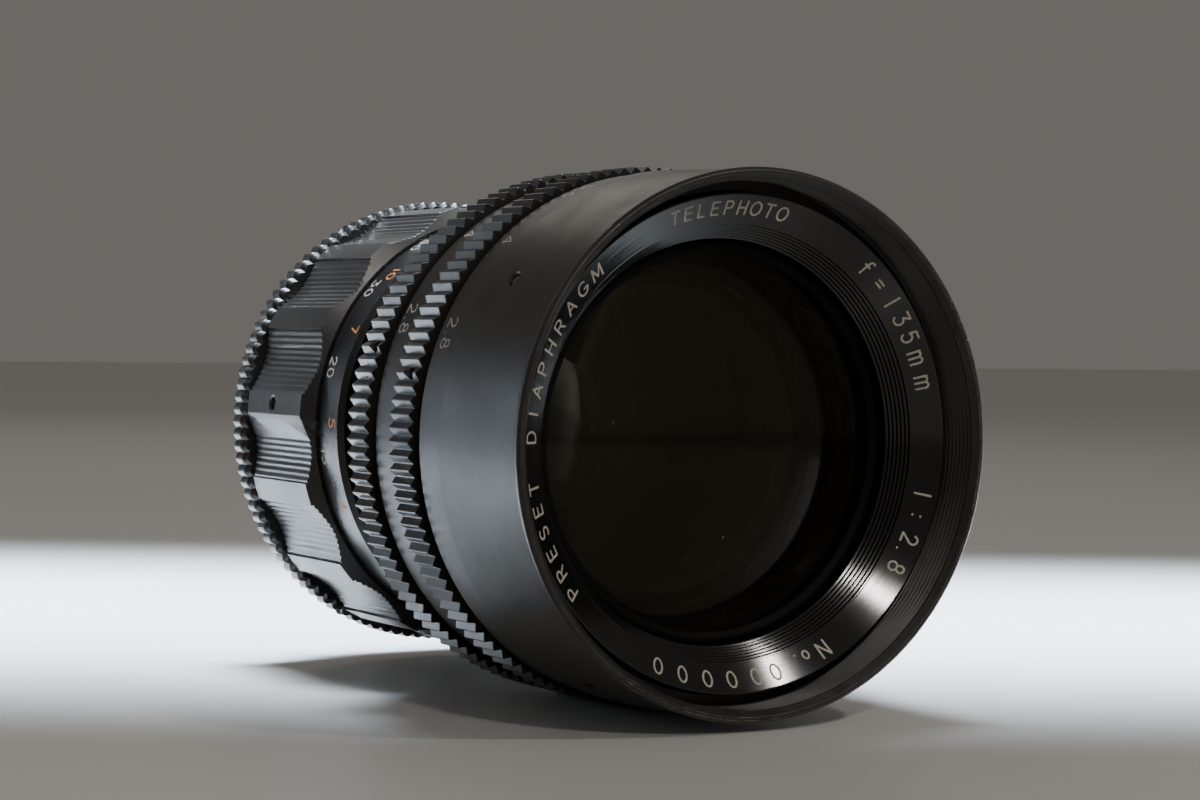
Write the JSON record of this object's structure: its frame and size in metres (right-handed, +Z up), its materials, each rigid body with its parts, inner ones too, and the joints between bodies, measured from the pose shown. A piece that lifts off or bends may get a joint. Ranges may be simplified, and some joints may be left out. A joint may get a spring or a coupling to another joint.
{
  "type": "preset telephoto lens",
  "caption": "Manual preset telephoto camera lens with knurled preset and aperture rings, scalloped focusing grip, screw mount and a deep conical front ring.",
  "frame": {"origin": "Under the middle of the lens, on the surface that it lies on.", "axes": "+Y runs along the optical axis from the front to the mount, +Z is up, and +X is to the right as seen from the front."},
  "size_m": [0.0688, 0.0924, 0.0688],
  "materials": {
    "black_anodised": "satin black anodised aluminium, worn at the edges",
    "matt_black": "matt black anti-reflection paint on turned aluminium",
    "optical_glass": "polished coated optical glass with an amber coating",
    "brass": "turned brass",
    "blade_steel": "blackened spring steel",
    "steel": "blackened and bright steel",
    "scale_white": "white paint fill in the engraving",
    "scale_orange": "orange paint fill in the engraving"
  },
  "bodies": {
    "rear_body": {"fixed_barrel": "black_anodised", "focus_key": "brass", "focus_stop_pin": "steel", "rear_baffle": "matt_black", "mount_ring": "black_anodised", "mount_screw_1": "steel", "mount_screw_2": "steel", "mount_screw_3": "steel"},
    "focus_ring": {"focus_nut": "brass", "distance_ring": "black_anodised", "focus_grip": "black_anodised", "grip_screw_1": "steel", "grip_screw_2": "steel", "grip_screw_3": "steel"},
    "head": {"front_barrel": "black_anodised", "barrel_screw_1": "steel", "barrel_screw_2": "steel", "barrel_screw_3": "steel", "name_ring": "black_anodised", "front_retainer": "matt_black", "front_cell": "matt_black", "second_retainer": "matt_black", "third_cell": "matt_black", "third_retainer": "matt_black", "head_barrel": "black_anodised", "preset_stop_pin": "steel", "aperture_stop_pin": "steel", "preset_click_ball": "steel", "aperture_click_ball": "steel", "preset_click_spring": "steel", "aperture_click_spring": "steel", "iris_housing": "matt_black", "rear_cell": "matt_black", "rear_retainer": "matt_black", "head_sleeve": "black_anodised", "head_shoulder": "black_anodised", "element_front": "optical_glass", "element_second": "optical_glass", "element_third": "optical_glass", "element_rear": "optical_glass"},
    "preset_ring": {"preset_ring": "black_anodised", "preset_ring_screw_1": "steel", "preset_ring_screw_2": "steel", "preset_ring_screw_3": "steel"},
    "aperture_ring": {"aperture_ring": "black_anodised", "aperture_ring_screw_1": "steel", "aperture_ring_screw_2": "steel", "aperture_ring_screw_3": "steel", "iris_cam_ring": "brass"},
    "iris_blade_01": {"iris_blade_01": "blade_steel"},
    "iris_blade_02": {"iris_blade_02": "blade_steel"},
    "iris_blade_03": {"iris_blade_03": "blade_steel"},
    "iris_blade_04": {"iris_blade_04": "blade_steel"},
    "iris_blade_05": {"iris_blade_05": "blade_steel"},
    "iris_blade_06": {"iris_blade_06": "blade_steel"},
    "iris_blade_07": {"iris_blade_07": "blade_steel"},
    "iris_blade_08": {"iris_blade_08": "blade_steel"},
    "iris_blade_09": {"iris_blade_09": "blade_steel"},
    "iris_blade_10": {"iris_blade_10": "blade_steel"}
  },
  "joints": [
    {"name": "focus_turn", "type": "hinge", "parent": "rear_body", "child": "focus_ring", "pos_m": [0, 0.03, 0.0344], "axis": [0, 1, 0], "range_deg": [0, 300]},
    {"name": "head_slide", "type": "slide", "parent": "rear_body", "child": "head", "axis": [0, -1, 0], "range_m": [0, 0.01335]},
    {"name": "preset_turn", "type": "hinge", "parent": "head", "child": "preset_ring", "pos_m": [0, -0.021, 0.0344], "axis": [0, 1, 0], "range_deg": [-38, 68]},
    {"name": "aperture_turn", "type": "hinge", "parent": "head", "child": "aperture_ring", "pos_m": [0, -0.009, 0.0344], "axis": [0, 1, 0], "range_deg": [-42, 64]},
    {"name": "blade_01_swing", "type": "hinge", "parent": "head", "child": "iris_blade_01", "pos_m": [0, -0.0085, 0.0579], "axis": [0, 1, 0], "range_deg": [-21.8, 14.4]},
    {"name": "blade_02_swing", "type": "hinge", "parent": "head", "child": "iris_blade_02", "pos_m": [0.01381, -0.0085, 0.05341], "axis": [0, 1, 0], "range_deg": [-21.8, 14.4]},
    {"name": "blade_03_swing", "type": "hinge", "parent": "head", "child": "iris_blade_03", "pos_m": [0.02235, -0.0085, 0.04166], "axis": [0, 1, 0], "range_deg": [-21.8, 14.4]},
    {"name": "blade_04_swing", "type": "hinge", "parent": "head", "child": "iris_blade_04", "pos_m": [0.02235, -0.0085, 0.02714], "axis": [0, 1, 0], "range_deg": [-21.8, 14.4]},
    {"name": "blade_05_swing", "type": "hinge", "parent": "head", "child": "iris_blade_05", "pos_m": [0.01381, -0.0085, 0.01539], "axis": [0, 1, 0], "range_deg": [-21.8, 14.4]},
    {"name": "blade_06_swing", "type": "hinge", "parent": "head", "child": "iris_blade_06", "pos_m": [0, -0.0085, 0.0109], "axis": [0, 1, 0], "range_deg": [-21.8, 14.4]},
    {"name": "blade_07_swing", "type": "hinge", "parent": "head", "child": "iris_blade_07", "pos_m": [-0.01381, -0.0085, 0.01539], "axis": [0, 1, 0], "range_deg": [-21.8, 14.4]},
    {"name": "blade_08_swing", "type": "hinge", "parent": "head", "child": "iris_blade_08", "pos_m": [-0.02235, -0.0085, 0.02714], "axis": [0, 1, 0], "range_deg": [-21.8, 14.4]},
    {"name": "blade_09_swing", "type": "hinge", "parent": "head", "child": "iris_blade_09", "pos_m": [-0.02235, -0.0085, 0.04166], "axis": [0, 1, 0], "range_deg": [-21.8, 14.4]},
    {"name": "blade_10_swing", "type": "hinge", "parent": "head", "child": "iris_blade_10", "pos_m": [-0.01381, -0.0085, 0.05341], "axis": [0, 1, 0], "range_deg": [-21.8, 14.4]}
  ],
  "couplings": [
    {"joint": "head_slide", "follows": "focus_turn", "m_per_rad": 0.0025497},
    {"joint": "blade_01_swing", "follows": "aperture_turn", "ratio": -0.33962},
    {"joint": "blade_02_swing", "follows": "aperture_turn", "ratio": -0.33962},
    {"joint": "blade_03_swing", "follows": "aperture_turn", "ratio": -0.33962},
    {"joint": "blade_04_swing", "follows": "aperture_turn", "ratio": -0.33962},
    {"joint": "blade_05_swing", "follows": "aperture_turn", "ratio": -0.33962},
    {"joint": "blade_06_swing", "follows": "aperture_turn", "ratio": -0.33962},
    {"joint": "blade_07_swing", "follows": "aperture_turn", "ratio": -0.33962},
    {"joint": "blade_08_swing", "follows": "aperture_turn", "ratio": -0.33962},
    {"joint": "blade_09_swing", "follows": "aperture_turn", "ratio": -0.33962},
    {"joint": "blade_10_swing", "follows": "aperture_turn", "ratio": -0.33962}
  ]
}
